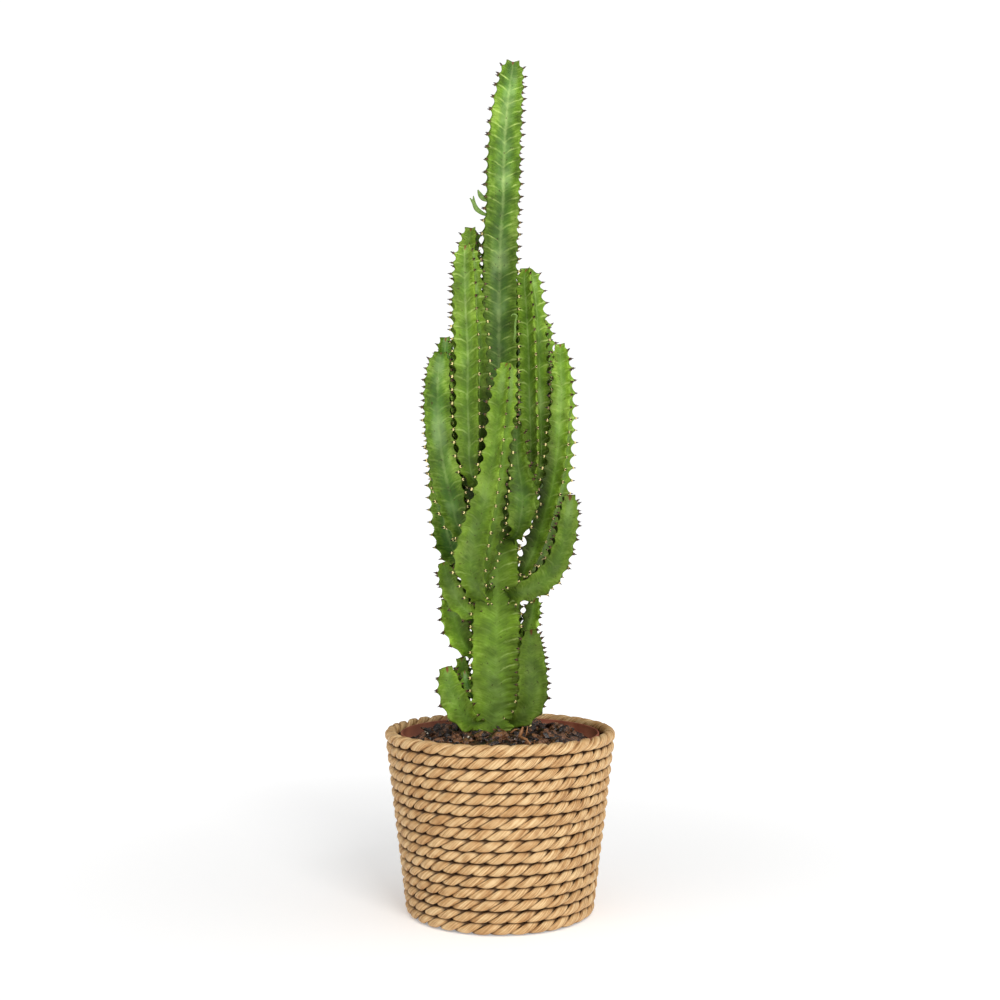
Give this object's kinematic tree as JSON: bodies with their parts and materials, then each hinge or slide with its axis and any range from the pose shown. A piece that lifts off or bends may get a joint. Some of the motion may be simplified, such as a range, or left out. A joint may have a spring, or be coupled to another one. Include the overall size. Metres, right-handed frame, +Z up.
{
  "type": "potted african milk tree",
  "caption": "Potted African milk tree: upright branching four-ribbed spiny green stems growing from soil in a plastic nursery pot inside a coiled plant-fibre rope basket.",
  "frame": {"origin": "centre of the basket's flat underside, on the surface it stands on", "axes": "+Z up along the trunk, -Y towards the plant's front, +X to its right as seen from the front"},
  "size_m": [0.203, 0.203, 0.747],
  "materials": {
    "rope": "dried twisted plant fibre, matte to slight sheen",
    "pot_plastic": "reddish-brown moulded plastic",
    "potting_mix": "dark moist bark and peat mix",
    "stem_skin": "waxy green plant skin with dark spines"
  },
  "bodies": {
    "root": {"basket": "rope", "nursery_pot": "pot_plastic", "soil": "potting_mix", "trunk": "stem_skin", "arm_front": "stem_skin", "arm_front_inner": "stem_skin", "arm_left_inner": "stem_skin", "arm_left_inner_back": "stem_skin", "arm_left_outer": "stem_skin", "arm_left_outer_back": "stem_skin", "arm_right_inner": "stem_skin", "arm_right_inner_back": "stem_skin", "arm_right_outer": "stem_skin", "arm_right_elbow": "stem_skin", "arm_low_left_top": "stem_skin", "arm_low_left_middle": "stem_skin", "arm_low_left_stub": "stem_skin", "arm_low_left_bottom": "stem_skin", "arm_low_left_bud": "stem_skin", "arm_low_right": "stem_skin", "arm_low_right_slim": "stem_skin", "arm_back_right": "stem_skin", "arm_back_left": "stem_skin", "arm_back_low": "stem_skin"}
  },
  "joints": []
}
